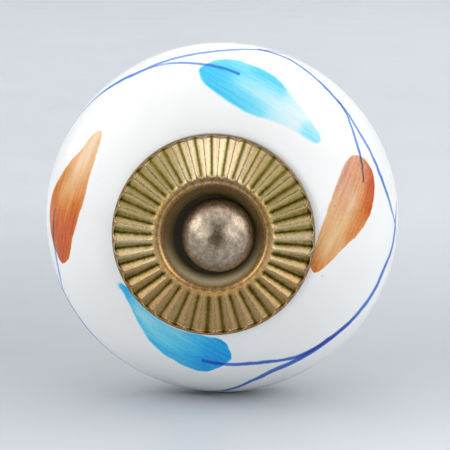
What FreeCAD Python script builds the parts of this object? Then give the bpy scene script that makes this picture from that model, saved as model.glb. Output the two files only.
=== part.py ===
import FreeCAD, Part
import math
import os

# A painted ceramic cabinet knob with brass fittings.
#
# A glazed ball with a flat land on its front is clamped on one long screw. The screw's dome
# head sits in the well of a rosette that is pressed from brass sheet, with radial flutes.
# Behind the ball a turned brass base stands on the drawer front, and a washer and a nut
# inside its hollow hold the whole stack together. The tail of the screw goes on through
# the drawer front.
#
# Every piece is first made upright about Z, where z is the height above the drawer front.
# laid_down() then turns it to its place: the knob faces -Y, +Z is up, and the origin is the
# centre of the mounting face. All sizes are in millimetres.

Vector = FreeCAD.Vector
AXIS = Vector(0, 0, 1)
DIAGONAL = math.sqrt(0.5)  # both coordinates of a unit circle's point at 45 degrees

# Screw
head_radius = 4.0
head_skirt = 0.4  # straight side under the dome
head_edge = 0.2
thread_radius = 2.0
pitch_radius = 1.77  # the plain shank of a rolled thread is this thick
tail_length = 25.0  # behind the mounting face
tip_chamfer = 0.45

# Nut and washer
nut_across_flats = 7.0
nut_height = 3.2
nut_clearance = 0.03
nut_sink = 0.5  # how far the nut lies inside the mounting face
nut_chamfer_angle = 30.0
washer_radius = 4.5
washer_thickness = 0.8
washer_clearance = 0.15

# Turned base
web = 1.5
base_clearance = 0.3  # between the screw and the hole in the web
hollow_clearance = 1.1  # round the washer, for a socket spanner
waist_wall = 1.4
waist_share = 0.56  # height of the waist as a share of the height of the seat
foot_radius = 9.2
foot_edge = 1.1
foot_step = 0.6
foot_round = 0.3
cup_depth = 1.5
cup_wall = 0.9
cup_clearance = 0.15
cup_round = 0.3

# Ceramic ball
ball_radius = 20.0
crown_height = 13.8  # from the widest circle to where the front ellipse would peak
back_height = 10.6  # from the widest circle to where the rear ellipse would end
neck_radius = 7.5
neck_length = 2.4  # from its seat in the base to the foot of the rear ellipse
neck_fillet = 1.8
ball_clearance = 1.0  # between the screw and the bore
land_round = 0.25
bore_chamfer = 0.5

# Rosette, pressed from brass sheet
rosette_radius = 11.15
rosette_shift = 0.5  # the loose rosette was clamped this far off the axis
rosette_clearance = 0.3
sheet = 0.35
rim_overhang = 0.1  # how far the rim reaches past the ceramic's land
rim_land = 0.04  # the flat of the rim, inside its rounded edge
rim_height = 0.85
rim_bend = 0.05  # bends are measured on the inside of the sheet
crest_rise = 1.25  # from the rim up to the crest
crest_bend = 0.3
well_clearance = 0.65  # between the screw's head and the corner of the well
well_run = 1.15  # from the corner of the well out to the crest
well_bend = 0.3

# Flutes
flute_count = 37
flute_gap = 0.75  # from the crest to the tips of the flutes
flute_start = 0.6  # from the tip to where a flute has its full width
flute_end = 0.55  # from the deepest point out to the arched end
flute_land = 0.08  # from the arched end out to the edge of the flat rim
flute_share = 0.93  # width of a flute as a share of the pitch
flute_arch = 1.25  # radius of the arched outer end as a share of half the width
flute_depth = 0.5  # at the deepest point, and less towards the crest
flute_turn = 91.0  # direction of the first flute, in degrees from +X towards +Z

# Heights above the drawer front, each from the piece below
nut_face = nut_sink
washer_face = nut_face + nut_height
web_face = washer_face + washer_thickness
seat = web_face + web
land_radius = rosette_radius - rim_overhang
equator = seat + neck_length + back_height * math.sqrt(1 - (neck_radius / ball_radius) ** 2)
land = equator + crown_height * math.sqrt(1 - (land_radius / ball_radius) ** 2)
head_seat = land + sheet

# Radii that follow from the pieces inside
washer_bore = thread_radius + washer_clearance
hollow_radius = washer_radius + hollow_clearance
waist_radius = hollow_radius + waist_wall
cup_radius = neck_radius + cup_clearance
lip_radius = cup_radius + cup_wall
rosette_bore = thread_radius + rosette_shift + rosette_clearance
well_radius = head_radius + well_clearance
crest_radius = well_radius + well_run
rim_edge = rosette_radius - sheet - rim_bend - rim_land
crest_height = rim_height + crest_rise


def point(r, z):
    """A point of a half section, r from the axis and z high."""
    return Vector(r, 0, z)


def line(start, end):
    return Part.LineSegment(start, end).toShape()


def arc(start, middle, end):
    return Part.Arc(point(*start), point(*middle), point(*end)).toShape()


def path(*points):
    """Straight edges through the given points of a half section."""
    return [line(point(*a), point(*b)) for a, b in zip(points, points[1:])]


def turned(edges):
    """The solid that a closed half section makes when it is turned about the axis."""
    return Part.Face(Part.Wire(Part.sortEdges(edges)[0])).revolve(Vector(), AXIS, 360)


def circles(solid, *places):
    """The circular edges of a turned solid that lie at the given radii and heights."""
    found = []
    for edge in solid.Edges:
        curve = edge.Curve
        if isinstance(curve, Part.Circle):
            place = Vector(curve.Radius, 0, curve.Center.z)
            if any(place.isEqual(point(*wanted), 1e-6) for wanted in places):
                found.append(edge)
    return found


def screw():
    """Head, shank and thread in one piece. The thread is a plain cylinder at its crests."""
    dome_base = head_seat + head_skirt
    dome_corner = head_radius * DIAGONAL
    dome_top = (0, dome_base + head_radius)
    tip = -tail_length
    dome = arc((head_radius, dome_base), (dome_corner, dome_base + dome_corner), dome_top)
    body = path(
        dome_top,
        (0, tip),
        (thread_radius - tip_chamfer, tip),
        (thread_radius, tip + tip_chamfer),
        (thread_radius, nut_face),
        (pitch_radius, nut_face),
        (pitch_radius, head_seat),
        (head_radius - head_edge, head_seat),
        (head_radius, head_seat + head_edge),
        (head_radius, dome_base),
    )
    return turned([dome, *body])


def nut():
    """A hexagon nut with the corners turned off on both faces."""
    half_flats = nut_across_flats / 2
    corner = half_flats / math.cos(math.pi / 6)
    directions = [Vector(math.cos(math.pi * k / 3), math.sin(math.pi * k / 3), 0) for k in range(7)]
    outline = Part.makePolygon([direction * corner for direction in directions])
    hexagon = Part.Face(outline).extrude(Vector(0, 0, nut_height))
    hexagon.translate(point(0, nut_face))
    drop = (corner - half_flats) * math.tan(math.radians(nut_chamfer_angle))
    chamfered = path(
        (0, nut_face),
        (half_flats, nut_face),
        (corner, nut_face + drop),
        (corner, washer_face - drop),
        (half_flats, washer_face),
        (0, washer_face),
        (0, nut_face),
    )
    bore = Part.makeCylinder(pitch_radius + nut_clearance, nut_height, point(0, nut_face))
    return hexagon.common(turned(chamfered)).cut(bore)


def washer():
    section = path(
        (washer_bore, washer_face),
        (washer_radius, washer_face),
        (washer_radius, web_face),
        (washer_bore, web_face),
        (washer_bore, washer_face),
    )
    return turned(section)


def base():
    """A foot, a waist and a cup for the ceramic's neck, with a hollow for washer and nut."""
    lip = seat + cup_depth
    waist = seat * waist_share
    shoulder = foot_radius - foot_step
    web_bore = thread_radius + base_clearance
    # Both curves leave the waist straight up or down and end level.
    bend = 1 - DIAGONAL
    cove_middle = (waist_radius + (shoulder - waist_radius) * bend, waist - (waist - foot_edge) * DIAGONAL)
    flare_middle = (waist_radius + (lip_radius - waist_radius) * bend, waist + (seat - waist) * DIAGONAL)
    curves = [
        arc((shoulder, foot_edge), cove_middle, (waist_radius, waist)),
        arc((waist_radius, waist), flare_middle, (lip_radius, seat)),
    ]
    outside = path((hollow_radius, 0), (foot_radius, 0), (foot_radius, foot_edge), (shoulder, foot_edge))
    inside = path(
        (lip_radius, seat),
        (lip_radius, lip),
        (cup_radius, lip),
        (cup_radius, seat),
        (web_bore, seat),
        (web_bore, web_face),
        (hollow_radius, web_face),
        (hollow_radius, 0),
    )
    spool = turned(curves + outside + inside)
    spool = spool.makeFillet(foot_round, circles(spool, (foot_radius, 0), (foot_radius, foot_edge)))
    return spool.makeFillet(cup_round, circles(spool, (lip_radius, lip)))


def half_ellipse(height, radius):
    """The ball's outline from its widest circle to a radius, forward or, if below 0, back."""
    widest = point(ball_radius, equator)
    ellipse = Part.Ellipse(widest, point(0, equator + height), point(0, equator))
    return Part.ArcOfEllipse(ellipse, 0, math.acos(radius / ball_radius)).toShape()


def ceramic_ball():
    """Two half ellipses that meet at the widest circle, on a short neck, bored right through."""
    bore = thread_radius + ball_clearance
    foot = seat + neck_length
    curves = [half_ellipse(-back_height, neck_radius), half_ellipse(crown_height, land_radius)]
    straight = path(
        (land_radius, land),
        (bore, land),
        (bore, seat),
        (neck_radius, seat),
        (neck_radius, foot),
    )
    ball = turned(curves + straight)
    ball = ball.makeFillet(min(neck_fillet, 0.9 * neck_length), circles(ball, (neck_radius, foot)))
    ball = ball.makeFillet(land_round, circles(ball, (land_radius, land)))
    return ball.makeChamfer(bore_chamfer, circles(ball, (bore, land), (bore, seat)))


def ridge_height(r):
    """The ridges between the flutes lie on a shallow cone, from the crest down to the rim."""
    return rim_height + crest_rise * (rim_edge - r) / (rim_edge - crest_radius)


def flat_sided(*faces):
    """The solid between flat faces, each given by its corners."""
    shell = Part.Shell([Part.Face(Part.makePolygon([*corners, corners[0]])) for corners in faces])
    shell.sewShape()
    return Part.Solid(shell)


def groove():
    """A cutter for one V flute, pointed towards the crest and arched at its outer end.

    The ridges meet in one point above the rosette's centre, and so do the lowest lines of
    the flutes. Sections across a flute are therefore alike and differ only in size. The
    cutter goes on past the ridges, so that it clears the sheet.
    """
    overshoot = 1.05
    peak = point(0, ridge_height(0))
    tip = crest_radius + flute_gap
    end = rim_edge - flute_land
    deepest = end - flute_end
    half_width = deepest * math.pi * flute_share / flute_count
    ridge = point(deepest, ridge_height(deepest))
    bottom = ridge - point(0, flute_depth)
    left, right = ridge - Vector(0, half_width, 0), ridge + Vector(0, half_width, 0)

    def section(radius):
        """The V across the flute at a radius, as its lowest, left and right corners."""
        low, *sides = [peak + (corner - peak) * (radius / deepest) for corner in (bottom, left, right)]
        return [low, *[low + (side - low) * overshoot for side in sides]]

    start, far = section(tip + flute_start), section(rosette_radius)
    pointed = start[0] + (point(tip, ridge_height(tip)) - start[0]) * overshoot
    wedge = flat_sided(
        *[[pointed, start[a], start[b]] for a, b in ((0, 1), (1, 2), (2, 0))],
        *[[start[a], start[b], far[b], far[a]] for a, b in ((0, 1), (1, 2), (2, 0))],
        far,
    )

    # The end rises steeply from the deepest point, with an arch for its outline.
    rise = point(end, ridge_height(end)) - bottom
    arch_radius = flute_arch * half_width
    foot = bottom - rise
    centre = foot - point(arch_radius, 0)
    aside = Vector(0, arch_radius, 0)
    inner = point(0, foot.z)
    arch = Part.Arc(centre - aside, foot, centre + aside).toShape()
    corners = [centre + aside, inner + aside, inner - aside, centre - aside]
    bullet = Part.Wire([arch, *[line(a, b) for a, b in zip(corners, corners[1:])]])
    return wedge.common(Part.Face(bullet).extrude(rise * ((peak.z - foot.z) / rise.z)))


def beside(points, distance):
    """A line of points that runs on the right of another one, at the given distance."""
    runs = [(b - a).normalize() for a, b in zip(points, points[1:])]
    right = [Vector(run.z, 0, -run.x) for run in runs]
    corners = [
        corner + (before + after) * (distance / (1 + before.dot(after)))
        for corner, before, after in zip(points[1:-1], right, right[1:])
    ]
    return [points[0] + right[0] * distance, *corners, points[-1] + right[-1] * distance]


def die(outline, bottom, rounds, flute):
    """One half of the press tool: all that lies under one side of the pressed sheet.

    The outline runs out from the axis over the well, the crest and the rim, and the die goes
    straight down from there to its bottom. The rounds are those of the well, the crest and
    the rim's outer edge.
    """
    closed = [*outline, point(outline[-1].x, bottom), point(0, bottom), outline[0]]
    body = turned([line(a, b) for a, b in zip(closed, closed[1:])])
    well, crest, rim_corner = outline[1], outline[2], outline[4]
    for corner, radius in zip((well, crest, rim_corner), rounds):
        body = body.makeFillet(radius, circles(body, (corner.x, corner.z)))
    turns = [flute_turn + number * 360 / flute_count for number in range(flute_count)]
    return body.cut(Part.makeCompound([flute.rotated(Vector(), AXIS, turn) for turn in turns]))


def rosette():
    """Sheet with a turned-down rim, flutes, a round crest and a well for the screw's head."""
    top = [
        point(0, sheet),
        point(well_radius, sheet),
        point(crest_radius, crest_height),
        point(rim_edge, rim_height),
        point(rosette_radius, rim_height),
        point(rosette_radius, 0),
    ]
    flute = groove()

    # The sheet takes the form of both dies, so each flute shows as a ridge on its underside.
    upper = die(top[:-1], 0, (well_bend, crest_bend + sheet, rim_bend + sheet), flute)
    flute.translate(point(0, -sheet))
    under = beside(top, sheet)
    lower = die(under[:-1], -sheet, (well_bend + sheet, crest_bend, rim_bend), flute)
    bore = Part.makeCylinder(rosette_bore, sheet)
    pressed = upper.cut(lower).cut(bore)
    pressed.translate(Vector(-rosette_shift, 0, land))
    return pressed


def laid_down(solid):
    """Turns the height above the drawer front into -Y, the way the knob faces."""
    return solid.rotated(Vector(), Vector(1, 0, 0), 90)


os.makedirs("parts", exist_ok=True)
for make in (ceramic_ball, rosette, screw, base, washer, nut):
    name = make.__name__
    piece = laid_down(make())
    piece.exportStep(f"parts/{name}.step")
    counts = f"{len(piece.Solids)} solid, {len(piece.Faces)} faces"
    print(f"{name}: valid {piece.isValid()}, {counts}, {piece.Volume:.2f} mm3")
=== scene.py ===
# %% [markdown]
# A painted ceramic cabinet knob, dressed in Blender
#
# The knob's solids are already built and packed, so this lesson starts by loading them as a
# fixed frame. The knob faces -Y, with +Z up. The glazed ball, the pressed brass rosette and
# the screw get finer meshes of their own here, because their looks come from small forms.
# The turned base, the washer and the nut keep their solids and get metal finishes. Blender
# works in metres. Sizes are written in millimetres, and MM turns them into metres.

# %% Load the frame
import math

import bpy
import numpy as np
from mathutils import Matrix, Vector


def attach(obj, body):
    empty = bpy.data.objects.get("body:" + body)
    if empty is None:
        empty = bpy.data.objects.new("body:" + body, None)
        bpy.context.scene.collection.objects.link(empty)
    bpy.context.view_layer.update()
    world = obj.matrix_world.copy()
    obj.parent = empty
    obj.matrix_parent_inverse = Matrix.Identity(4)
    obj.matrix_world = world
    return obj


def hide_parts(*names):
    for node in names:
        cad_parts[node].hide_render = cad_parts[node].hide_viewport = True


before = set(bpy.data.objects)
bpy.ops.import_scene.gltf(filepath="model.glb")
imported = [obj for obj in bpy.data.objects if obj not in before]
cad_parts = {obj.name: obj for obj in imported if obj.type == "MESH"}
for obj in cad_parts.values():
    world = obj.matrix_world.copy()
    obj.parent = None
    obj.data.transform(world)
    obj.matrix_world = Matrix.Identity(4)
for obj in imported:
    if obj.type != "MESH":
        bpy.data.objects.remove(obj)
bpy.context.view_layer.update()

MM = 0.001
scene = bpy.context.scene
print("Solids in the frame:", ", ".join(sorted(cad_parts)))

# %% [markdown]
# The camera
#
# The knob was photographed from a little above and a little to its right, from far enough
# away that the ball's outline is nearly a circle. A long lens gives that. The camera could
# be placed by hand, but it is safer to turn two angles and a distance into a place. It then
# aims a little beside the ball's centre, so that the ball sits where it should in the
# picture.

# %% Camera
EQUATOR = 18.2264  # height of the ball's widest circle above the drawer front
ball_centre = Vector((0, -EQUATOR, 0)) * MM
azimuth = math.radians(2.1)
elevation = math.radians(8.8)
camera_distance = 320 * MM
lens = 225
sensor = 36
picture_width = 450
aim_offset = (3, -7)  # pixels to the right of the ball's centre and above it

towards_camera = Vector((
    math.sin(azimuth) * math.cos(elevation),
    -math.cos(azimuth) * math.cos(elevation),
    math.sin(elevation),
))
to_the_right = Vector((math.cos(azimuth), math.sin(azimuth), 0))
upwards = towards_camera.cross(to_the_right)
pixel = camera_distance * sensor / lens / picture_width
aim = ball_centre + (to_the_right * aim_offset[0] + upwards * aim_offset[1]) * pixel
place = ball_centre + towards_camera * camera_distance

camera = bpy.data.objects.new("camera", bpy.data.cameras.new("camera"))
camera.data.lens = lens
camera.data.sensor_width = sensor
camera.data.clip_start = 0.01
camera.location = place
camera.rotation_euler = (aim - place).to_track_quat("-Z", "Y").to_euler()
scene.collection.objects.link(camera)
scene.camera = camera
print(f"One pixel at the ball is {pixel / MM:.3f} mm")

# %% [markdown]
# Nodes in few words
#
# Every finish here is a network of shader nodes. Adding them one at a time takes four lines
# each, so these helpers add a node, set what is a number and link what comes from another
# node. With them a formula in the shader reads nearly like a formula in Python.

# %% Add and feed a node
def feed(tree, node, inputs):
    """Links sockets of other nodes to a node's inputs, and sets plain numbers and colours."""
    for name, value in inputs.items():
        if isinstance(value, bpy.types.NodeSocket):
            tree.links.new(value, node.inputs[name])
        else:
            node.inputs[name].default_value = value


def add(tree, kind, inputs=None, **settings):
    """A new shader node."""
    made = tree.nodes.new("ShaderNode" + kind)
    for name, value in settings.items():
        setattr(made, name, value)
    feed(tree, made, inputs or {})
    return made


# %% Arithmetic with nodes
def calc(tree, operation, *values):
    """One step of arithmetic on sockets or numbers."""
    return add(tree, "Math", dict(enumerate(values)), operation=operation).outputs[0]


def distance(tree, x, y):
    """How far a point lies from the place where both coordinates are 0."""
    squared = calc(tree, "ADD", calc(tree, "POWER", x, 2), calc(tree, "POWER", y, 2))
    return calc(tree, "SQRT", squared)


def smooth(tree, value, start, end, low=0.0, high=1.0):
    """Goes softly from low to high while the value goes from start to end."""
    inputs = {"Value": value, "From Min": start, "From Max": end, "To Min": low, "To Max": high}
    made = add(tree, "MapRange", inputs, interpolation_type="SMOOTHSTEP")
    return made.outputs["Result"]


# %% Colour and texture with nodes
def blend(tree, factor, first, second, kind="MIX"):
    """Mixes two colours."""
    made = add(tree, "Mix", {0: factor, 6: first, 7: second}, data_type="RGBA", blend_type=kind)
    return made.outputs[2]


def noise(tree, place, scale, detail=3.0, roughness=0.5):
    """Soft cloudy values near 0.5. The scale says how many clouds there are to a millimetre."""
    inputs = {"Vector": place, "Scale": scale, "Detail": detail, "Roughness": roughness}
    return add(tree, "TexNoise", inputs).outputs["Fac"]


def grade(tree, value, stops):
    """A colour ramp through the given stops of place and colour."""
    ramp = add(tree, "ValToRGB", {"Fac": value})
    elements = ramp.color_ramp.elements
    while len(elements) < len(stops):
        elements.new(0.5)
    for element, (at, colour) in zip(elements, stops):
        element.position = at
        element.color = (*colour, 1)
    return ramp.outputs["Color"]


# %% A new material
def new_material(name):
    """A material with its main shader, and the place of each point in millimetres."""
    material = bpy.data.materials.new(name)
    material.use_nodes = True
    tree = material.node_tree
    shader = tree.nodes["Principled BSDF"]
    place = add(tree, "TexCoord").outputs["Object"]
    place = add(tree, "VectorMath", {0: place, "Scale": 1 / MM}, operation="SCALE").outputs[0]
    return material, tree, shader, place


def bump(tree, shader, height, size, strength=1.0):
    """Lets a height from 0 to 1, of the given size in millimetres, tilt the light."""
    inputs = {"Height": height, "Distance": size * MM, "Strength": strength}
    feed(tree, shader, {"Normal": add(tree, "Bump", inputs).outputs["Normal"]})


# %% [markdown]
# A lathe
#
# Most of this knob is round about one axis: the ball is thrown and turned, and the screw's
# head is turned too. A mesh for such a piece is a profile, a row of points of radius and
# height, that is repeated round the axis. Blender's Screw modifier could do that. A few
# lines of numpy give the same points and leave them free for the thread and the flutes.

# %% A lathe for round pieces
def turned(profile, columns):
    """Points round the axis for a profile of (radius, height above the drawer front)."""
    angles = np.arange(columns) * 2 * math.pi / columns
    radius, height = np.array(profile).T
    x = np.outer(radius, np.cos(angles))
    z = np.outer(radius, np.sin(angles))
    y = -np.outer(height, np.ones(columns))
    return np.stack([x, y, z], axis=-1).reshape(-1, 3) * MM


def ring_faces(rows, columns, closed=False):
    """The faces between rows of points round the axis."""
    faces = []
    for row in range(rows if closed else rows - 1):
        for column in range(columns):
            beside = (column + 1) % columns
            low, high = row * columns, (row + 1) % rows * columns
            faces.append((low + column, low + beside, high + beside, high + column))
    return faces


# %% From points and faces to a piece
def finished(name, vertices, faces, material, slot, *nodes):
    """Makes the object, lets it ride on the knob's body and stand for its CAD nodes."""
    mesh = bpy.data.meshes.new(name)
    mesh.from_pydata(vertices, [], faces)
    mesh.validate()
    mesh.shade_smooth()
    mesh.materials.append(material)
    made = bpy.data.objects.new(name, mesh)
    scene.collection.objects.link(made)
    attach(made, "root")
    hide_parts(*nodes)
    print(f"{name}: {len(mesh.vertices)} points, {len(mesh.polygons)} faces")
    return made


# %% [markdown]
# The ball's shape
#
# The ball is thrown porcelain. Its outline is two half ellipses that meet at the widest
# circle, with a flat land on the front for the rosette, a neck at the back and a bore right
# through. Glaze runs thin over edges and fills corners, so every corner of the profile gets
# a radius. Many points on the profile keep the glossy outline smooth.

# %% Rounded corners for a profile
def rounded(corners, steps=8):
    """Replaces each (radius, height, round) corner by an arc that touches both its sides."""
    points = []
    befores, afters = corners[-1:] + corners[:-1], corners[1:] + corners[:1]
    for before, corner, after in zip(befores, corners, afters):
        here, size = Vector(corner[:2]), corner[2]
        if size == 0:
            points.append(tuple(here))
            continue
        back = (Vector(before[:2]) - here).normalized()
        on = (Vector(after[:2]) - here).normalized()
        half = back.angle(on) / 2
        start = here + back * (size / math.tan(half))
        centre = here + (back + on).normalized() * (size / math.sin(half))
        spoke = start - centre
        sweep = math.copysign(math.pi - 2 * half, back.cross(on))
        for step in range(steps + 1):
            spin = Matrix.Rotation(-sweep * step / steps, 2)
            points.append(tuple(centre + spin @ spoke))
    return points


# %% Profile of the ball
BALL_RADIUS = 20.0
CROWN_HEIGHT = 13.8
BACK_HEIGHT = 10.6
LAND_RADIUS = 11.05
LAND = EQUATOR + CROWN_HEIGHT * math.sqrt(1 - (LAND_RADIUS / BALL_RADIUS) ** 2)
SEAT = 6.0
land_round = 2.0
neck_radius = 7.5
neck_length = 2.4
neck_fillet = 1.0
foot_round = 0.1
bore_radius = 3.0
bore_chamfer = 0.5
front_end = math.asin(LAND_RADIUS / BALL_RADIUS) + 0.035  # leaves room for the land's round
back_end = math.asin((neck_radius + neck_fillet) / BALL_RADIUS)


def half_ellipse(height, angles):
    """Sharp points on the ball's outline, forward or, with a height below 0, back."""
    return [(BALL_RADIUS * math.sin(a), EQUATOR + height * math.cos(a), 0) for a in angles]


ball_corners = [
    (bore_radius, LAND - bore_chamfer, 0),
    (bore_radius, SEAT + bore_chamfer, 0),
    (bore_radius + bore_chamfer, SEAT, 0),
    (neck_radius, SEAT, foot_round),
    (neck_radius, SEAT + neck_length, neck_fillet),
    *half_ellipse(-BACK_HEIGHT, np.linspace(back_end, math.pi / 2, 70))[:-1],
    *half_ellipse(CROWN_HEIGHT, np.linspace(math.pi / 2, front_end, 90)),
    (LAND_RADIUS, LAND, land_round),
    (bore_radius + bore_chamfer, LAND, 0),
]
ball_profile = rounded(ball_corners)
print(f"The land lies {LAND:.3f} mm above the drawer front")

# %% [markdown]
# Painting the ball: a flat plan
#
# On the real knob a brush has painted leaves and a thin vine on the white body, under the
# glaze. An image texture could carry that, but a drawing made of nodes stays sharp at any
# size and needs no file. To draw on a ball, each point first gets a place on a flat plan:
# its direction round the axis stays, and its distance from the middle is measured along
# the surface. A slow noise moves the places about by a tenth of a millimetre or so, like a
# hand that isn't quite steady.

# %% The glaze and its plan
glaze, tree, shader, place = new_material("painted glaze")
hand_wobble = 0.3
wobble = add(tree, "TexNoise", {"Vector": place, "Scale": 0.9, "Detail": 4.0}).outputs["Color"]
wobble = add(tree, "VectorMath", {0: wobble, 1: (0.5, 0.5, 0.5)}, operation="SUBTRACT").outputs[0]
wobble = add(tree, "VectorMath", {0: wobble, "Scale": hand_wobble}, operation="SCALE").outputs[0]
brushed = add(tree, "VectorMath", {0: place, 1: wobble}, operation="ADD").outputs[0]
parts = add(tree, "SeparateXYZ", {0: brushed}).outputs
forward = calc(tree, "SUBTRACT", calc(tree, "MULTIPLY", parts["Y"], -1), EQUATOR)
in_front = calc(tree, "DIVIDE", calc(tree, "MAXIMUM", forward, 0), CROWN_HEIGHT)
behind = calc(tree, "DIVIDE", calc(tree, "MINIMUM", forward, 0), BACK_HEIGHT)
outward = calc(tree, "DIVIDE", distance(tree, parts["X"], parts["Z"]), BALL_RADIUS)
tilt = calc(tree, "ARCTAN2", outward, calc(tree, "ADD", in_front, behind))
reach = calc(tree, "MULTIPLY", tilt, BALL_RADIUS)
turn = calc(tree, "ARCTAN2", parts["Z"], parts["X"])
across = calc(tree, "MULTIPLY", reach, calc(tree, "COSINE", turn))
up = calc(tree, "MULTIPLY", reach, calc(tree, "SINE", turn))
print(f"From its middle to the widest circle the plan measures {BALL_RADIUS * math.pi / 2:.1f} mm")

# %% [markdown]
# Painting the ball: a leaf
#
# A leaf is one loaded brush, pressed down and drawn out, so its paint is thick in some
# places and thin in others. Each leaf gets its own frame from its stem to its tip. Two
# curves give its upper and lower edges there, and three more say how much paint lies along
# the lower edge, the middle and the upper edge. Paint under a glaze works as a filter, so
# amounts are added up first and become a colour only at the end.

# %% A free curve
def curve(tree, value, points, low=0.0, high=1.0):
    """A free curve from 0 to 1 through the given points, for heights from low to high."""
    made = add(tree, "FloatCurve", {"Value": value})
    line = made.mapping.curves[0]
    while len(line.points) < len(points):
        line.points.new(0.5, 0.5)
    for point, (at, height) in zip(line.points, sorted(points)):
        point.location = (at, (height - low) / (high - low))
        point.handle_type = "AUTO_CLAMPED"
    made.mapping.update()
    return calc(tree, "MULTIPLY_ADD", made.outputs["Value"], high - low, low)


# %% The frame of a leaf, and the marks of a brush
LEAF_REACH = 6.5  # the widest that a leaf reaches from its line from stem to tip
MOST_PAINT = 2.0


def leaf_frame(stem, tip):
    """The way along a leaf, 0 at its stem and 1 at its tip, and the way across it in mm."""
    run = Vector(tip) - Vector(stem)
    along, length = run.normalized(), run.length
    right = calc(tree, "SUBTRACT", across, stem[0])
    above = calc(tree, "SUBTRACT", up, stem[1])
    from_right = calc(tree, "MULTIPLY", right, along.x / length)
    s = calc(tree, "MULTIPLY_ADD", above, along.y / length, from_right)
    t = calc(tree, "MULTIPLY_ADD", above, along.x, calc(tree, "MULTIPLY", right, -along.y))
    return s, t


def brush_marks(s, t):
    """Long streaks that the hairs leave, and the fine grain of the fired body."""
    strands = {0: calc(tree, "MULTIPLY", s, 3.0), 1: calc(tree, "MULTIPLY", t, 2.2)}
    strands = add(tree, "CombineXYZ", strands).outputs[0]
    streaks = smooth(tree, noise(tree, strands, 1.0, 4.0, 0.6), 0.25, 0.75, 0.72, 1.28)
    grain = smooth(tree, noise(tree, place, 4.5, 2.0), 0.3, 0.7, 0.9, 1.1)
    return calc(tree, "MULTIPLY", streaks, grain)


# %% A leaf
def leaf(stem, tip, upper, lower, paint_low, paint_middle, paint_high, softness=0.22):
    """The amount of paint that a leaf lays on each point of the plan."""
    s, t = leaf_frame(stem, tip)
    top = curve(tree, s, upper, -LEAF_REACH, LEAF_REACH)
    bottom = curve(tree, s, lower, -LEAF_REACH, LEAF_REACH)
    from_bottom = calc(tree, "SUBTRACT", t, bottom)
    share = calc(tree, "DIVIDE", from_bottom, calc(tree, "SUBTRACT", top, bottom))
    low = curve(tree, s, paint_low, 0, MOST_PAINT)
    middle = curve(tree, s, paint_middle, 0, MOST_PAINT)
    high = curve(tree, s, paint_high, 0, MOST_PAINT)
    amount = add(tree, "Mix", {0: smooth(tree, share, 0.05, 0.5), 2: low, 3: middle}).outputs[0]
    amount = add(tree, "Mix", {0: smooth(tree, share, 0.5, 0.92), 2: amount, 3: high}).outputs[0]
    amount = calc(tree, "MULTIPLY", amount, brush_marks(s, t))
    inside = calc(tree, "MINIMUM", calc(tree, "SUBTRACT", top, t), from_bottom)
    inside = smooth(tree, inside, -softness / 2, softness)
    ends = calc(tree, "MULTIPLY", smooth(tree, s, -0.012, 0.012), smooth(tree, s, 1.012, 0.985))
    return calc(tree, "MULTIPLY", amount, calc(tree, "MULTIPLY", inside, ends))


# %% [markdown]
# Painting the ball: a thin line
#
# The vine is drawn with the tip of a fine brush while the ball turns, so it runs mostly
# round the axis. That makes it easy: for each direction round the axis a curve gives its
# distance from the middle, and two more give its width and how much paint it holds.

# %% A line of paint
line_softness = 0.5  # as a share of half the line's width


def evenly(values):
    """Values as the points of a curve, spaced evenly from 0 to 1."""
    return [(number / (len(values) - 1), value) for number, value in enumerate(values)]


def stroke(points, widths, paints):
    """The amount of paint of one thin line through (direction in degrees, reach) points."""
    first, last = points[0][0], points[-1][0]
    span = first - last
    centre = math.radians((first + last) / 2)
    away = calc(tree, "WRAP", calc(tree, "SUBTRACT", turn, centre), math.pi, -math.pi)
    s = calc(tree, "MULTIPLY_ADD", away, -1 / math.radians(span), 0.5)
    low = min(r for _, r in points) - 0.5
    high = max(r for _, r in points) + 0.5
    line = curve(tree, s, [((first - at) / span, r) for at, r in points], low, high)
    half_width = curve(tree, s, evenly(widths), 0, 1)
    amount = curve(tree, s, evenly(paints), 0, MOST_PAINT)
    off = calc(tree, "ABSOLUTE", calc(tree, "SUBTRACT", reach, line))
    hair = calc(tree, "DIVIDE", off, half_width)
    body = smooth(tree, hair, 1 + line_softness, 1 - line_softness)
    ends = calc(tree, "MULTIPLY", smooth(tree, s, 0.0, 0.01), smooth(tree, s, 1.0, 0.99))
    return calc(tree, "MULTIPLY", amount, calc(tree, "MULTIPLY", body, ends))


def total(amounts):
    """All the paint that several strokes leave on each point."""
    result = amounts[0]
    for amount in amounts[1:]:
        result = calc(tree, "ADD", result, amount)
    return result


# %% [markdown]
# The turquoise leaves
#
# Two turquoise leaves lie opposite each other. The upper one was painted with a thin bright
# wash that almost runs out near its tip, the lower one with a fuller and deeper one that
# starts nearly blue at its stem. So each gets a pigment of its own. Stems, tips and edges
# are points on the flat plan, in millimetres.

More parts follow.
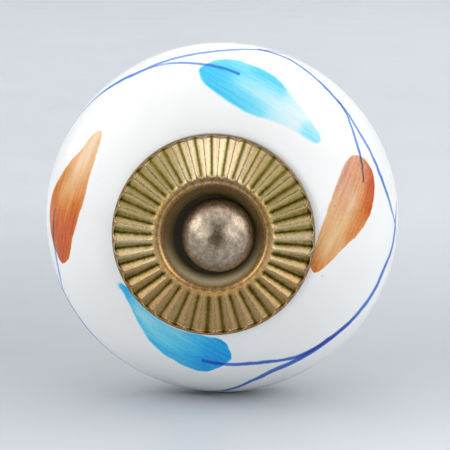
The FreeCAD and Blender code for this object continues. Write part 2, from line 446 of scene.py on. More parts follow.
# %% Turquoise leaves
turquoise = leaf(
    stem=(-2.72, 21.84), tip=(12.61, 11.21),
    upper=[(0, 1.0), (0.03, 2.6), (0.084, 3.7), (0.18, 4.6), (0.286, 4.92), (0.4, 5.1),
           (0.523, 4.8), (0.634, 3.8), (0.763, 2.73), (0.889, 1.6), (0.97, 0.9), (1, 0.3)],
    lower=[(0, -0.2), (0.03, -0.9), (0.13, -1.9), (0.282, -2.43), (0.4, -2.6), (0.528, -2.38),
           (0.634, -1.72), (0.75, -1.2), (0.865, -0.9), (0.97, -0.7), (1, 0.0)],
    paint_low=[(0, 1.45), (0.2, 1.4), (0.4, 1.1), (0.55, 0.75), (0.64, 0.3), (0.8, 0.14),
               (0.88, 0.45), (0.97, 0.5)],
    paint_middle=[(0, 1.45), (0.15, 1.35), (0.25, 0.95), (0.35, 0.5), (0.55, 0.25),
                  (0.8, 0.12), (0.88, 0.5), (0.97, 0.45)],
    paint_high=[(0, 0.9), (0.12, 0.8), (0.22, 0.75), (0.33, 0.95), (0.45, 1.1), (0.58, 0.85),
                (0.66, 0.28), (0.82, 0.1), (0.9, 0.4), (1, 0.4)],
    softness=0.3,
)
wet_tip = [(0.92, 1.3), (0.98, 0.2), (1, 0)]  # where the brush was lifted off
deep_turquoise = leaf(
    stem=(1.45, -16.1), tip=(-12.2, -6.0),
    upper=[(0, 1.6), (0.03, 3.2), (0.06, 4.1), (0.145, 4.83), (0.286, 5.0), (0.417, 4.93),
           (0.571, 4.11), (0.697, 2.87), (0.838, 1.35), (0.92, 0.55), (1, 0.2)],
    lower=[(0, -0.2), (0.06, -1.2), (0.153, -2.0), (0.306, -1.2), (0.47, 0.0), (0.6, 0.2),
           (0.72, 0.1), (0.876, -0.6), (0.95, -0.45), (1, -0.2)],
    paint_low=[(0, 2.0), (0.14, 1.9), (0.3, 1.2), (0.45, 0.7), (0.7, 0.5), (0.85, 0.9), *wet_tip],
    paint_middle=[(0, 2.0), (0.1, 2.0), (0.25, 1.4), (0.37, 0.9), (0.5, 0.72), (0.72, 0.45),
                  (0.85, 0.85), *wet_tip],
    paint_high=[(0, 2.0), (0.15, 1.6), (0.35, 1.25), (0.5, 1.2), (0.65, 0.95), (0.8, 0.85),
                *wet_tip],
)
print("Two turquoise leaves, with", len(tree.nodes), "nodes so far")

# %% [markdown]
# The orange-brown leaves
#
# The other pair is painted in an orange-brown. Both leaves hold the most paint where the
# brush pressed hardest, and the right one has a pale streak along its middle and a pink
# wash at its stem, which is laid as a second pigment in the same outline.

# %% Orange-brown leaves
right_leaf = {
    "stem": (19.32, 9.72), "tip": (11.3, -4.6), "softness": 0.16,
    "upper": [(0, 0.9), (0.05, 2.6), (0.1, 3.2), (0.19, 3.77), (0.3, 4.15), (0.382, 4.19),
              (0.48, 3.95), (0.58, 3.41), (0.747, 2.1), (0.899, 1.1), (0.97, 0.5), (1, -0.1)],
    "lower": [(0, -0.3), (0.05, -1.6), (0.157, -2.4), (0.3, -2.5), (0.431, -2.41),
              (0.648, -2.1), (0.794, -1.7), (0.937, -1.2), (0.98, -0.7), (1, -0.2)],
}
rust_right = leaf(
    **right_leaf,
    paint_low=[(0, 0.15), (0.3, 0.12), (0.45, 0.3), (0.6, 0.4), (0.85, 0.5), (1, 0.9)],
    paint_middle=[(0, 0.55), (0.2, 0.38), (0.4, 0.22), (0.5, 0.3), (0.65, 0.34), (0.8, 0.35),
                  (1, 0.9)],
    paint_high=[(0, 1.3), (0.1, 1.4), (0.25, 1.3), (0.4, 1.12), (0.6, 0.78), (0.8, 0.5),
                (0.9, 0.62), (1, 0.88)],
)
rust_left = leaf(
    stem=(-22.56, -5.4), tip=(-15.6, 13.0),
    upper=[(0, 0.6), (0.02, 1.6), (0.072, 2.95), (0.157, 4.73), (0.283, 6.0), (0.36, 6.2),
           (0.44, 6.06), (0.579, 4.94), (0.721, 3.57), (0.801, 2.5), (0.93, 1.5), (0.98, 0.9),
           (1, 0.2)],
    lower=[(0, -0.3), (0.04, -1.1), (0.1, -1.75), (0.169, -1.81), (0.231, -1.7),
           (0.374, -1.85), (0.522, -1.9), (0.659, -1.57), (0.775, -1.27), (0.968, -0.46),
           (1, 0)],
    paint_low=[(0, 1.25), (0.3, 1.2), (0.45, 0.9), (0.6, 0.62), (0.8, 0.42), (1, 0.32)],
    paint_middle=[(0, 1.35), (0.2, 1.3), (0.35, 0.95), (0.45, 0.55), (0.6, 0.38), (0.8, 0.26),
                  (1, 0.22)],
    paint_high=[(0, 1.0), (0.2, 1.0), (0.4, 0.95), (0.6, 0.72), (0.75, 0.5), (1, 0.3)],
    softness=0.16,
)
rust = total([rust_right, rust_left])
pink = leaf(
    **right_leaf,
    paint_low=[(0, 0.6), (0.25, 0.55), (0.5, 0.15), (0.7, 0), (1, 0)],
    paint_middle=[(0, 0.35), (0.25, 0.32), (0.45, 0.12), (0.6, 0), (1, 0)],
    paint_high=[(0, 0), (1, 0)],
)
print("Two orange-brown leaves, with", len(tree.nodes), "nodes so far")

# %% [markdown]
# The vines
#
# Four vines run between the leaves, and each of them forks: one branch becomes the stem of
# a leaf, and the other runs on over the widest part of the ball to the next vine. A fine
# brush swells where it is pressed, so widths and amounts of paint change along each stroke.

# %% Vines round the widest part
vine_strokes = [
    stroke([(160, 31.4), (150, 30.4), (137, 28.85), (125, 27.05), (114.5, 25.95), (105, 25.95),
            (95.9, 26.1), (90, 26.55), (85, 27.2), (76.8, 29.0), (70, 31.0)],
           widths=(0.3, 0.34, 0.42, 0.36, 0.32, 0.34), paints=(0.3, 0.45, 1.0, 0.9, 0.95, 0.4)),
    stroke([(78.5, 28.8), (76.8, 29.0), (71, 29.0), (63, 27.8), (50.7, 25.8), (44, 25.1),
            (31, 24.1), (19, 24.2), (9.5, 25.1), (0.3, 27.2), (-4, 28.6), (-8, 30.2)],
           widths=(0.3, 0.3, 0.28, 0.26, 0.3, 0.32, 0.26),
           paints=(1.0, 1.1, 1.0, 0.9, 1.05, 0.8, 0.3)),
    stroke([(7, 29.2), (0.3, 27.6), (-8.3, 26.8), (-15.4, 25.2), (-23, 24.5), (-36, 22.8),
            (-48, 21.4), (-57, 21.0), (-67, 20.8), (-75, 21.6), (-85, 24.4), (-93, 27.2),
            (-100, 29.3), (-110, 31)],
           widths=(0.3, 0.48, 0.48, 0.54, 0.46, 0.5, 0.6),
           paints=(0.6, 1.2, 1.3, 1.6, 1.3, 1.3, 1.1)),
    stroke([(-85, 31.2), (-100, 29.7), (-115, 28.4), (-130, 28.0), (-145, 27.9), (-155, 28.5),
            (-170, 30), (-185, 31), (-200, 31.4)],
           widths=(0.5, 0.7, 0.9, 0.7, 0.5), paints=(0.7, 0.9, 1.1, 0.8, 0.6)),
]
print(len(vine_strokes), "vines")

# %% Stems of the leaves
stem_strokes = [
    stroke([(122, 26.65), (115, 25.85), (107.6, 24.85), (96.8, 23.0), (92.1, 22.3), (82.5, 20.8)],
           widths=(0.2, 0.26, 0.26, 0.28, 0.3, 0.3), paints=(0.4, 0.6, 0.7, 0.75, 0.8, 0.8)),
    stroke([(47, 25.4), (45, 25.1), (33, 22.3), (27.3, 21.4), (21.8, 20.5), (18.1, 19.8)],
           widths=(0.18, 0.26, 0.25, 0.2, 0.12), paints=(0.5, 0.9, 1.0, 1.5, 1.1)),
    stroke([(-34, 23.1), (-36, 22.8), (-48.2, 21.3), (-58.4, 20.2), (-73, 18.0), (-89.6, 17.0),
            (-98, 16.5)],
           widths=(0.26, 0.38, 0.36, 0.33, 0.3, 0.28), paints=(0.4, 0.9, 1.3, 1.3, 1.1, 0.8)),
    stroke([(-150, 28.4), (-156, 27.4), (-162.5, 25.5), (-168, 24.9), (-177, 24.6), (-185.7, 23.9)],
           widths=(0.25, 0.32, 0.28, 0.2), paints=(0.4, 0.7, 0.7, 0.45)),
]
vine = total(vine_strokes + stem_strokes)
print(len(stem_strokes), "stems")

# %% [markdown]
# From paint to colour
#
# Each pigment lets some colours through more than others. With k for how strongly it holds
# back red, green and blue, an amount of paint d leaves exp(-k d) of the white below. Where a
# stem crosses a leaf the amounts add up, and the line turns dark by itself.

# %% Pigments under the glaze
PIGMENTS = (  # how strongly each paint holds back red, green and blue
    (turquoise, (2.15, 0.36, 0.02)),
    (deep_turquoise, (2.5, 0.49, 0.06)),
    (rust, (0.4, 1.85, 3.9)),
    (pink, (0.5, 1.6, 2.0)),
    (vine, (2.3, 1.45, 0.4)),
)
held_back = None
for amount, strength in PIGMENTS:
    part = add(tree, "VectorMath", {0: strength, "Scale": amount}, operation="SCALE").outputs[0]
    if held_back:
        part = add(tree, "VectorMath", {0: held_back, 1: part}, operation="ADD").outputs[0]
    held_back = part
held_back = add(tree, "SeparateXYZ", {0: held_back}).outputs
left = {k: calc(tree, "EXPONENT", calc(tree, "MULTIPLY", held_back[k], -1)) for k in range(3)}
paint = add(tree, "CombineColor", left).outputs[0]
print(len(PIGMENTS), "pigments")

# %% [markdown]
# White glaze
#
# The glaze is a clear gloss over a white body. It isn't perfect: there are tiny iron specks
# in the body, its white is a little cooler in slow patches, and its skin has a faint ripple
# that makes the reflections of the lamps swim. Four larger specks have their own places on
# the plan. The colour of the paint then multiplies the white.

# %% Body, specks and glaze
GLAZE_WHITE = (0.925, 0.92, 0.905)
SPECKS = ((12.44, -5.1, 0.15), (-10.98, -11.39, 0.13), (-6.46, -14.89, 0.12), (13.91, 3.29, 0.12))
specks = smooth(tree, noise(tree, place, 2.6, 2.0, 0.6), 0.76, 0.8)
for x, y, size in SPECKS:
    away = distance(tree, calc(tree, "SUBTRACT", across, x), calc(tree, "SUBTRACT", up, y))
    specks = calc(tree, "MAXIMUM", specks, smooth(tree, away, size, size * 0.5))
white = blend(tree, specks, (*GLAZE_WHITE, 1), (0.45, 0.42, 0.38, 1))
cool_patches = smooth(tree, noise(tree, place, 0.12, 3.0), 0.35, 0.7)
white = blend(tree, cool_patches, white, (0.89, 0.89, 0.88, 1))
feed(tree, shader, {
    "Base Color": blend(tree, 1.0, white, paint, "MULTIPLY"),
    "Roughness": smooth(tree, noise(tree, place, 0.6, 4.0), 0.3, 0.7, 0.14, 0.22),
    "IOR": 1.52,
    "Specular IOR Level": 0.36,
})
bump(tree, shader, noise(tree, place, 0.22, 2.0), 0.12, 0.5)
print("The glaze has", len(tree.nodes), "nodes")

# %% The glazed ball
columns = 256
finished("glazed_ball", turned(ball_profile, columns),
         ring_faces(len(ball_profile), columns, closed=True),
         glaze, "glazed_body", "ceramic_ball")

# %% [markdown]
# The rosette's form
#
# The rosette is thin brass sheet, pressed between two dies: a well for the screw's head, a
# round crest, and a shallow cone of 37 V-shaped flutes that end in round pockets near the
# flat rim. A heightfield says this directly. For every direction and every distance from
# the centre it gives the height of the sheet. Ridges can then be softened, and each flute
# can be pressed a little differently, as on the real one.

# %% Sizes of the rosette
SHEET = 0.35
ROSETTE_RADIUS = 11.15
ROSETTE_SHIFT = -0.5  # it was loose and got clamped off the axis
rim_edge = ROSETTE_RADIUS - 0.44
rim_height = 0.85
crest_radius, crest_height = 5.8, 2.1
well_radius = 4.65
peak = rim_height + (crest_height - rim_height) * rim_edge / (rim_edge - crest_radius)


def soft_min(a, b, size):
    """The lower of two heights, with the corner between them rounded over about size."""
    h = np.clip(0.5 + 0.5 * (b - a) / size, 0, 1)
    return b * (1 - h) + a * h - size * h * (1 - h)


def ridge_line(radius):
    """Height of the ridges, which all meet in one point above the middle."""
    return peak - (peak - rim_height) * radius / rim_edge


print(f"The lines of the ridges meet {peak:.2f} mm above the land")

# %% [markdown]
# The flutes
#
# Each flute is the space that a narrow V leaves when it is pressed into the sheet: pointed
# towards the crest, deepest near the rim and closed there by a round pocket, with a floor
# that is nearly flat. So its depth is the smallest of four simple depths, one for the sides,
# the floor, the point and the pocket. The flutes differ a little in place, width, depth and
# stain. These differences are drawn at random, from a fixed start so that every run gives
# the same rosette.

# %% Sizes of the flutes
FLUTES = 37
FLUTE_TURN = 91.0
flute_pitch = 2 * math.pi / FLUTES
flute_tip = crest_radius + 0.75
low_tips_inward = 0.45  # the tips at the bottom reach further in
flute_tip_run = 0.3
flute_arch_end = ROSETTE_RADIUS - 0.13
flute_pocket = 0.35
flute_deepest = flute_arch_end - flute_pocket
flute_half_angle = 0.98 * math.pi / FLUTES
flute_depth = 0.5
floor_share = 0.8
pocket_round = 1.25
rng = np.random.default_rng(7)
flute_slip = rng.normal(0, 0.003, FLUTES)
flute_size = 1 + rng.normal(0, 0.02, FLUTES)
flute_press = 1 + rng.normal(0, 0.06, FLUTES)
flute_stain = rng.uniform(0.72, 1.12, FLUTES)
print("The rosette's flutes are", round(flute_half_angle * flute_deepest * 2, 2), "mm wide")


# %% Depth of the flutes
def flute_surface(radius, angle):
    """Way to the middle of the flute (less than 0 on its left), and how deep it is pressed in.

    A flute with much stain counts as narrower, so that more of it gets a dark tone.
    """
    phase = (angle - math.radians(FLUTE_TURN)) / flute_pitch
    number = np.round(phase).astype(int) % FLUTES
    left_or_right = np.sign(phase - np.round(phase))
    aside = np.abs(phase - np.round(phase)) * flute_pitch + flute_slip[number]
    half_angle = flute_half_angle * flute_size[number]
    share = np.abs(aside) / half_angle
    depth = flute_depth * flute_press[number]

    valley = depth * radius / flute_deepest
    sides = valley * (1 - share)
    floor = floor_share * valley
    below = (angle - math.radians(270) + math.pi) % (2 * math.pi) - math.pi
    tip = flute_tip - low_tips_inward * np.exp(-(below / 0.6) ** 2)
    start = tip + flute_tip_run
    start_depth = depth * start / flute_deepest
    point = start_depth * ((radius - tip) / flute_tip_run - share * radius / start)

    side_way = radius * np.sin(aside)
    arch = flute_deepest * half_angle * pocket_round
    out = radius * np.cos(aside) - (flute_arch_end - arch)
    beyond = arch - np.hypot(np.maximum(out, 0), side_way)
    pocket = beyond * (flute_depth / flute_pocket)
    sunk = -np.minimum(np.minimum(soft_min(sides, floor, 0.05), point * 2), pocket)
    return left_or_right * np.abs(side_way) / flute_stain[number], sunk


# %% [markdown]
# One heightfield for sheet, wear and shade
#
# Besides its height, each point of the sheet also gets a number that says how near the
# bottom of a flute it lies. The finish needs it later: dark stain stayed there when the
# brass was rubbed. Flanks that face down get some of the same dark as painted shade, and
# streaks of stain run from the flutes up over the crest.

# %% Height, hollows and painted shade of the sheet
def sheet_height(radius, angle):
    """Height of the upper face over the land, and how near the bottom of a flute it is, with
    painted shade on the flanks that face down.
    """
    level = np.ones_like(radius)
    rise = (crest_height - SHEET) / (crest_radius - well_radius)
    well = -soft_min(-SHEET * level, -(SHEET + (radius - well_radius) * rise), 0.55)
    body = soft_min(well, ridge_line(radius), 0.85)
    with_rim = -soft_min(-ridge_line(radius), -rim_height * level, 0.03)
    body = np.where(radius > 8, with_rim, body)
    side_way, sunk = flute_surface(radius, angle)
    sunk = soft_min(sunk, np.zeros_like(radius), 0.08)

    aside = np.abs(side_way)
    hollow_and_shade = np.interp(aside, [0, 0.08, 0.17, 0.32, 0.56, 0.8], [1, 0.92, 0.66, 0.44, 0.14, 0])
    # Painted shade: flanks that face down get some of the dark of the flute bottoms.
    painted_shade_facing_down = np.clip(np.sign(side_way) * np.cos(angle), 0, 1) * np.clip(-sunk / 0.2, 0, 1)
    hollow_and_shade = np.maximum(hollow_and_shade * np.clip(-sunk / 0.12, 0, 1), 0.56 * painted_shade_facing_down)
    streak_width = 0.8 * math.pi * radius / FLUTES
    streaks = 0.25 * np.clip(1 - aside / streak_width, 0, 1)
    streaks = streaks * np.clip((radius - 5.3) / 0.9, 0, 1)
    return body + sunk, np.where(radius < 6.9, np.maximum(hollow_and_shade, streaks), hollow_and_shade)


# %% [markdown]
# The rosette's mesh
#
# The mesh is made of rings again, but here a ring may go up and down. It starts in the
# bore, runs outward over the upper face, turns over the rounded rim, and comes back under
# the sheet, so the piece is closed and as thick as the real sheet. The rings stand closer
# where the form bends.

# %% Rings of the rosette
per_flute = 20
columns = FLUTES * per_flute
angles = np.arange(columns) * 2 * math.pi / columns + math.radians(FLUTE_TURN)
level = np.ones(columns)
bore = 2.8
corner_round = 0.1
burr = 0.05  # small bevels at the bore and at the foot of the rim
top_radii = np.concatenate([
    np.linspace(bore + burr, 4.2, 5), np.linspace(4.3, 5.1, 8), np.linspace(5.2, 6.5, 12),
    np.linspace(6.6, 9.4, 15), np.linspace(9.55, 10.4, 6), np.linspace(10.47, 11.04, 12),
])
under_radii = np.concatenate([
    np.linspace(10.7, 9.5, 6), np.linspace(9.2, 6.6, 8), np.linspace(6.3, 4.4, 9),
    np.linspace(4.0, bore + burr, 3),
])
rows, hollows_and_shade = [], []
print(len(top_radii), "rings above and", len(under_radii), "rings below the sheet")


def add_ring(radius, height, hollow_and_shade=0):
    """Adds one ring, with one height and one value of hollow and painted shade for each direction
    or for all of them.
    """
    x = radius * level * np.cos(angles) + ROSETTE_SHIFT
    z = radius * level * np.sin(angles)
    rows.append(np.stack([x, -(LAND + height * level), z], axis=-1))
    hollows_and_shade.append(hollow_and_shade * level)


# %% From the bore over the rim and back
add_ring(bore, burr)
add_ring(bore, SHEET - burr)
for radius in top_radii:
    add_ring(radius, *sheet_height(radius * level, angles))
for step in np.linspace(0, math.pi / 2, 6):
    inward, down = corner_round * (1 - math.sin(step)), corner_round * (1 - math.cos(step))
    add_ring(ROSETTE_RADIUS - inward, rim_height - down)
add_ring(ROSETTE_RADIUS, burr)
add_ring(ROSETTE_RADIUS - burr, 0)
add_ring(ROSETTE_RADIUS - SHEET, 0)
add_ring(ROSETTE_RADIUS - SHEET, rim_height - SHEET)
for radius in under_radii:
    height, _ = sheet_height(radius * level, angles)
    add_ring(radius, np.maximum(height - SHEET, 0))
print(len(rows), "rings of", columns, "points")

# %% [markdown]
# Antique brass
#
# The brass was darkened all over and then rubbed, so the ridges shine pale and warm, the
# flanks keep a yellow-green tone and the bottoms of the flutes stay olive. The mesh stores
# how near the bottom of a flute each of its points lies, with painted shade on flanks that
# face down. That value, broken up by noise, runs through a colour ramp. The flutes turn paler
# towards the top as painted light, and a little paler towards the bottom. The lower half is
# painted browner and darker as painted shade, and the shoulders are made browner and darker.

# %% Brass from ridge to valley
rubbed, tree, shader, place = new_material("rubbed antique brass")
hollow_and_shade = add(tree, "Attribute", attribute_name="hollow_and_shade").outputs["Fac"]
clouds = smooth(tree, noise(tree, place, 2.6, 4.0, 0.6), 0.3, 0.7, -0.1, 0.1)
grains = smooth(tree, noise(tree, place, 9.0, 4.0, 0.7), 0.3, 0.7, -0.12, 0.12)
wear_and_painted_light = calc(tree, "ADD", calc(tree, "ADD", hollow_and_shade, clouds), grains)
parts = add(tree, "SeparateXYZ", {0: place}).outputs
# Painted light: the flutes turn paler towards the top. They also turn a little paler towards the
# bottom.
wear_and_painted_light = calc(tree, "MULTIPLY", wear_and_painted_light, smooth(tree, parts["Z"], 2.0, 9.0, 1.0, 0.68))
wear_and_painted_light = calc(tree, "MULTIPLY", wear_and_painted_light, smooth(tree, parts["Z"], -3.0, -9.0, 1.0, 0.76))
colour = grade(tree, wear_and_painted_light, [
    (0.0, (0.6, 0.42, 0.26)), (0.06, (0.68, 0.52, 0.34)), (0.16, (0.73, 0.62, 0.38)),
    (0.4, (0.59, 0.475, 0.235)), (0.62, (0.34, 0.265, 0.075)), (0.95, (0.06, 0.044, 0.011)),
])

# %% Lower half and shoulders
off_axis = calc(tree, "SUBTRACT", parts["X"], ROSETTE_SHIFT)
radius = distance(tree, off_axis, parts["Z"])
# Painted shade: the lower half is made browner and darker.
lower_side_light_and_shade = smooth(tree, parts["Z"], 1.0, -5.0)
below = calc(tree, "MULTIPLY", lower_side_light_and_shade, 0.85)
colour = blend(tree, below, colour, (0.57, 0.44, 0.28, 1), "MULTIPLY")
off_middle = smooth(tree, calc(tree, "ABSOLUTE", off_axis), 2.0, 5.5)
shoulders = calc(tree, "MULTIPLY", off_middle, smooth(tree, parts["Z"], -2.0, 3.0, 0.0, 0.9))
colour = blend(tree, shoulders, colour, (0.76, 0.71, 0.48, 1), "MULTIPLY")
print(f"{rubbed.name}: {len(tree.nodes)} nodes for the flutes")

# %% [markdown]
# Crest, well and rim
#
# The crest has turned a rusty brown in patches, which is painted lighter on the lower side
# as painted light. The wall of the well is dull with age, so it is only half a metal here.
# Its lower side is painted paler as painted light, and it goes nearly black round the
# screw's head as painted shade. The outermost edge of the rim is painted dark, and grime
# sits in spots all over.

# %% Crest and well
crest = calc(tree, "MULTIPLY", smooth(tree, radius, 5.0, 5.6), smooth(tree, radius, 6.9, 6.3))
patches = smooth(tree, noise(tree, place, 1.6, 4.0, 0.6), 0.35, 0.65, 0.75, 1.0)
patches = calc(tree, "MULTIPLY", patches, smooth(tree, hollow_and_shade, 0.0, 0.2, 0.5, 1.0))
# Painted light: the rusty brown of the crest is lighter on its lower side.
rust_brown_and_painted_light = blend(tree, lower_side_light_and_shade, (0.36, 0.185, 0.04, 1), (0.8, 0.46, 0.15, 1))
colour = blend(tree, calc(tree, "MULTIPLY", crest, patches), colour, rust_brown_and_painted_light)
well = smooth(tree, radius, 5.7, 5.2)
# Painted light: the lower side of the well's wall is paler.
pale = calc(tree, "MULTIPLY", lower_side_light_and_shade, smooth(tree, radius, 4.5, 5.2))
wall = blend(tree, pale, (0.36, 0.25, 0.1, 1), (0.86, 0.77, 0.5, 1))
colour = blend(tree, well, colour, wall)
# Painted shade: the bottom of the well round the screw's head goes nearly black.
colour = blend(tree, smooth(tree, radius, 5.0, 4.3), colour, (0.02, 0.013, 0.004, 1))
dull = calc(tree, "MULTIPLY", well, smooth(tree, pale, 0.0, 1.0, -0.5, -0.58))

# %% Rim, grime and polish
# The outermost edge of the rim is painted dark.
edge = smooth(tree, radius, 11.0, 11.12)
colour = blend(tree, calc(tree, "MULTIPLY", edge, 0.85), colour, (0.16, 0.11, 0.07, 1))
grime = smooth(tree, noise(tree, place, 6.0, 5.0, 0.65), 0.56, 0.72)
colour = blend(tree, calc(tree, "MULTIPLY", grime, 0.5), colour, (0.1, 0.085, 0.04, 1))
polish = smooth(tree, wear_and_painted_light, 0.0, 0.8, 0.27, 0.5)
feed(tree, shader, {
    "Base Color": colour,
    "Metallic": calc(tree, "ADD", dull, 1),
    "Roughness": calc(tree, "MULTIPLY_ADD", well, -0.12, polish),
})
bump(tree, shader, noise(tree, place, 5.0, 6.0, 0.7), 0.03, 0.7)
print(f"{rubbed.name}: {len(tree.nodes)} nodes in all")

# %% The rosette
rosette = finished("pressed_rosette", np.concatenate(rows) * MM,
                   ring_faces(len(rows), columns, closed=True),
                   rubbed, "antique_brass", "rosette")
depth = rosette.data.attributes.new("hollow_and_shade", "FLOAT", "POINT")
depth.data.foreach_set("value", np.concatenate(hollows_and_shade).astype(np.float32))

# %% [markdown]
# The screw's form
#
# One long screw clamps everything. Its dome head comes off the same lathe as the ball. Its
# tail has a rolled M4 thread, for which the radius goes in and out with the height and the
# angle, once per pitch, which makes a true helix. The points are then joined to one mesh
# from the top of the dome down to the tip.

# %% Head and shank
HEAD_RADIUS = 4.0
HEAD_SEAT = LAND + SHEET
NUT_FACE = 0.5
TAIL = 25.0
SHANK = 1.77
THREAD = 2.0
dome_base = HEAD_SEAT + 0.4
columns = 96
dome = [
    (HEAD_RADIUS * math.sin(a), dome_base + HEAD_RADIUS * math.cos(a))
    for a in np.linspace(0.03, math.pi / 2, 48)
]
skirt = [
    (HEAD_RADIUS, HEAD_SEAT + 0.2), (HEAD_RADIUS - 0.06, HEAD_SEAT + 0.06),
    (HEAD_RADIUS - 0.2, HEAD_SEAT), (SHANK, HEAD_SEAT),
]
shank = [(SHANK, height) for height in (HEAD_SEAT - 1, 20, 10, NUT_FACE + 0.3)]
head_profile = [(0.02, dome_base + HEAD_RADIUS), *dome, *skirt, *shank]
print("Head and shank have", len(head_profile), "rings")

# %% Thread
pitch = 0.7
thread_depth = 0.38
angles = np.arange(columns) * 2 * math.pi / columns
heights = np.linspace(NUT_FACE, -TAIL, 440)
wave = (heights[:, None] / pitch - angles[None, :] / (2 * math.pi)) % 1
ridge = np.clip(np.abs(wave - 0.5) * 2 * 1.35 - 0.17, 0, 1)
thread = THREAD - thread_depth * (1 - ridge)
lead_in = np.clip((heights[:, None] + TAIL) * 1.0 + 1.55, 1.5, THREAD)
thread = np.minimum(thread, lead_in)
x, z = thread * np.cos(angles), thread * np.sin(angles)
y = -heights[:, None] * np.ones_like(x)
thread_points = np.stack([x, y, z], axis=-1).reshape(-1, 3) * MM
print(f"The thread turns {(NUT_FACE + TAIL) / pitch:.1f} times")

# %% Points and faces of the screw
tip_centre = np.array([[0, TAIL, 0]]) * MM
screw_points = np.concatenate([turned(head_profile, columns), thread_points, tip_centre])
ring_count = len(head_profile) + len(heights)
last = (ring_count - 1) * columns
centre = len(screw_points) - 1
screw_faces = ring_faces(ring_count, columns)
screw_faces += [(last + k, last + (k + 1) % columns, centre) for k in range(columns)]
screw_faces += [tuple(range(columns))]
print("The screw has", ring_count, "rings")

# %% [markdown]
# Worn plating
#
# The screw is steel with a thin bronze plating. Handling has worn it to a cloudy mix of
# brown and pale metal, with small pits where it rusted. The middle of the dome is painted
# dark, as a painted reflection of the dark gap where the camera looks in.
# Two sizes of noise make clouds and speckles. A Voronoi texture gives round pits, and some
# of them are masked away, so they don't look regular.

# %% Plating of the screw
plating, tree, shader, place = new_material("worn bronze plating")
pits = add(tree, "TexVoronoi", {"Vector": place, "Scale": 4.5, "Randomness": 1.0})
pits = smooth(tree, pits.outputs["Distance"], 0.24, 0.12)
pits = calc(tree, "MULTIPLY", pits, smooth(tree, noise(tree, place, 1.5, 2.0), 0.45, 0.58))
colour = grade(tree, noise(tree, place, 1.6, 6.0, 0.7), [
    (0.3, (0.25, 0.185, 0.12)), (0.48, (0.39, 0.31, 0.23)), (0.66, (0.57, 0.485, 0.39)),
])
speckle = smooth(tree, noise(tree, place, 9.0, 4.0, 0.7), 0.55, 0.66)
colour = blend(tree, calc(tree, "MULTIPLY", speckle, 0.45), colour, (0.12, 0.075, 0.04, 1))
colour = blend(tree, pits, colour, (0.05, 0.035, 0.02, 1))
parts = add(tree, "SeparateXYZ", {0: place}).outputs
# Painted reflection: the middle of the dome is painted dark, as the dark gap where the camera looks
# in would show in it.
ragged = calc(tree, "ADD", distance(tree, parts["X"], parts["Z"]), noise(tree, place, 2.0, 3.0))
painted_dark_middle = calc(tree, "MULTIPLY", smooth(tree, ragged, 1.7, 0.8), 0.8)
colour = blend(tree, painted_dark_middle, colour, (0.13, 0.085, 0.04, 1))
feed(tree, shader, {
    "Base Color": colour,
    "Metallic": 1.0,
    "Roughness": smooth(tree, noise(tree, place, 2.5, 4.0), 0.3, 0.7, 0.26, 0.38),
})
uneven = calc(tree, "MULTIPLY_ADD", pits, -1.0, noise(tree, place, 4.0, 5.0, 0.6))
bump(tree, shader, uneven, 0.035, 0.7)
print(f"{plating.name}: {len(tree.nodes)} nodes")

# %% The screw
finished("dome_screw", screw_points, screw_faces, plating, "aged_steel", "screw")

# %% [markdown]
# The base
#
# The base is turned from solid brass and darkened. It keeps fine rings from the tool. Noise
# that is read at the radius and the height alone, and not at the angle, is the same all the
# way round, which is just how a lathe leaves its marks. Its solid already has the right
# shape and only gets the finish.

# %% Turned brass
turned_brass, tree, shader, place = new_material("turned brass")
parts = add(tree, "SeparateXYZ", {0: place}).outputs
rings = {0: distance(tree, parts["X"], parts["Z"]), 1: parts["Y"]}
marks = noise(tree, add(tree, "CombineXYZ", rings).outputs[0], 9.0, 3.0, 0.7)
stain = noise(tree, place, 0.5, 5.0, 0.6)
tone = calc(tree, "MULTIPLY_ADD", marks, 0.25, calc(tree, "MULTIPLY", stain, 0.75))
colour = grade(tree, tone, [
    (0.3, (0.2, 0.15, 0.07)), (0.5, (0.45, 0.35, 0.17)), (0.65, (0.6, 0.48, 0.26)),
])
feed(tree, shader, {
    "Base Color": colour,
    "Metallic": 1.0,
    "Roughness": smooth(tree, stain, 0.3, 0.7, 0.28, 0.5),
})
bump(tree, shader, marks, 0.012, 0.6)
print(f"{turned_brass.name}: {len(tree.nodes)} nodes")

# %% [markdown]
# Washer and nut
#
# The washer and the nut are zinc-plated steel with a faint yellow tone. The plating has soft
# spangles, and the spanner left fine scratches. Stretching the place of each point along
# one axis before it goes into the noise turns round clouds into scratches.

# %% Yellow zinc
zinc, tree, shader, place = new_material("yellow zinc plating")
spangle = noise(tree, place, 1.8, 5.0, 0.6)
colour = grade(tree, spangle, [
    (0.3, (0.45, 0.42, 0.34)), (0.5, (0.62, 0.58, 0.46)), (0.7, (0.7, 0.66, 0.55)),
])
feed(tree, shader, {
    "Base Color": colour,
    "Metallic": 1.0,
    "Roughness": smooth(tree, spangle, 0.3, 0.7, 0.25, 0.42),
})
stretched = add(tree, "VectorMath", {0: place, 1: (1, 1, 12)}, operation="MULTIPLY").outputs[0]
bump(tree, shader, noise(tree, stretched, 3.0, 3.0), 0.01, 0.5)
print(f"{zinc.name}: {len(tree.nodes)} nodes")

# %% Finishes for the solids that stay
for name, material in (("base", turned_brass), ("washer", zinc), ("nut", zinc)):
    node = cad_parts[name]
    node.data.materials.clear()
    node.data.materials.append(material)
    print(name, "gets", material.name)

# %% [markdown]
# The sheet it lies on
#
# The knob lies on a plain pale sheet that curves up behind it, as in a small photo tent.
# The sheet is the stage and isn't part of the object. Its tone changes a little with the
# depth and from side to side as painted shade: the ground goes from pale in front through a
# painted grey band beside the knob to pale again behind it, and it is painted a little
# darker on the left, most of all near the knob. In front, out of the camera's sight, it is
# matt and darker, which keeps the views from behind from being washed out.

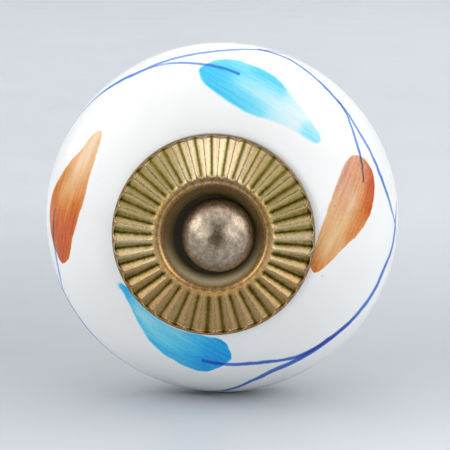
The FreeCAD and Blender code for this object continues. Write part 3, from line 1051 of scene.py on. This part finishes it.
# %% Form of the sheet
FLOOR = -BALL_RADIUS
bend, half_sheet = 300, 1200
stage_profile = [(-900, FLOOR), (700, FLOOR)]
stage_profile += [
    (700 + bend * math.sin(a), FLOOR + bend - bend * math.cos(a))
    for a in np.linspace(0.1, math.pi / 2, 16)
]
stage_profile += [(1000, 900)]
stage_points = [
    (side * half_sheet * MM, y * MM, z * MM) for y, z in stage_profile for side in (-1, 1)
]
stage_faces = [(2 * k, 2 * k + 1, 2 * k + 3, 2 * k + 2) for k in range(len(stage_profile) - 1)]
stage_mesh = bpy.data.meshes.new("stage")
stage_mesh.from_pydata(stage_points, [], stage_faces)
stage_mesh.shade_smooth()
stage = bpy.data.objects.new("stage", stage_mesh)
scene.collection.objects.link(stage)
print("The sheet has", len(stage_faces), "faces")

# %% Tone of the sheet
paper, tree, shader, place = new_material("pale paper")
parts = add(tree, "SeparateXYZ", {0: place}).outputs
depth_along, sideways = parts["Y"], parts["X"]
# Painted shade: the ground turns grey in a band beside the knob.
tone = grade(tree, smooth(tree, depth_along, -60, 140), [
    (0.0, (0.64, 0.667, 0.7)), (0.23, (0.48, 0.504, 0.533)), (0.48, (0.488, 0.511, 0.54)),
    (1.0, (0.58, 0.604, 0.632)),
])
tone = blend(tree, smooth(tree, depth_along, 180, 560), tone, (0.675, 0.703, 0.735, 1))
tone = blend(tree, smooth(tree, depth_along, -60, -130), tone, (0.5, 0.52, 0.545, 1))
tone = blend(tree, smooth(tree, depth_along, -150, -300), tone, (0.36, 0.375, 0.395, 1))
# Painted shadow: the sheet is a little darker on the left, most of all near the knob.
near = smooth(tree, depth_along, 160, 40, 0.25, 1.0)
shade = calc(tree, "MULTIPLY", smooth(tree, sideways, 40, -40, 0.0, 0.13), near)
tone = blend(tree, shade, tone, (0.0, 0.0, 0.0, 1))
feed(tree, shader, {
    "Base Color": tone,
    "Roughness": smooth(tree, noise(tree, place, 0.05, 2.0), 0.3, 0.7, 0.35, 0.5),
    "Specular IOR Level": smooth(tree, depth_along, -60, -150, 0.5, 0.0),
})
stage_mesh.materials.append(paper)
print(f"{paper.name}: {len(tree.nodes)} nodes")

# %% [markdown]
# Light
#
# The walls of a photo tent glow softly from all sides, and only the gap where the camera
# looks in stays dark. That dark gap is what gives the dome its dark middle. Eight large soft
# lights stand for the walls: one above, two on each side, two low ones in front, which
# lighten the lower half of the ball, and one that lights the ground behind. Large lights
# give soft shadows and broad reflections, which suit both glaze and brass.

# %% Lights
def soft_light(name, place, aim, size, power):
    """A large rectangular light. Place, aim and size are in millimetres, its power in watts."""
    data = bpy.data.lights.new(name, "AREA")
    data.shape = "RECTANGLE"
    data.size, data.size_y = size[0] * MM, size[1] * MM
    data.energy = power
    made = bpy.data.objects.new(name, data)
    made.location = Vector(place) * MM
    run = (Vector(aim) - Vector(place)) * MM
    made.rotation_euler = run.to_track_quat("-Z", "Y").to_euler()
    scene.collection.objects.link(made)


knob = (0, -20, 0)
soft_light("light_above", (0, -60, 460), knob, (620, 520), 0.98)
soft_light("light_left", (-425, -190, 210), knob, (760, 400), 0.96)
soft_light("light_right", (425, -190, 210), knob, (760, 400), 1.0)
soft_light("front_left", (-380, -400, 60), knob, (360, 280), 0.36)
soft_light("front_right", (380, -400, 60), knob, (360, 280), 0.36)
soft_light("bright_left", (-425, 80, 285), knob, (440, 400), 0.9)
soft_light("bright_right", (425, 80, 285), knob, (440, 400), 0.9)
soft_light("light_behind", (0, 520, 520), (0, 560, -20), (900, 500), 2.3)
print(len(bpy.data.lights), "lights")

# %% Light from everywhere else
world = bpy.data.worlds.new("studio")
scene.world = world
world.use_nodes = True
sky = world.node_tree.nodes["Background"]
sky.inputs["Color"].default_value = (0.9, 0.95, 1.0, 1)
sky.inputs["Strength"].default_value = 0.28
scene.view_settings.view_transform = "Standard"
print("The sky's strength is", round(sky.inputs["Strength"].default_value, 2))
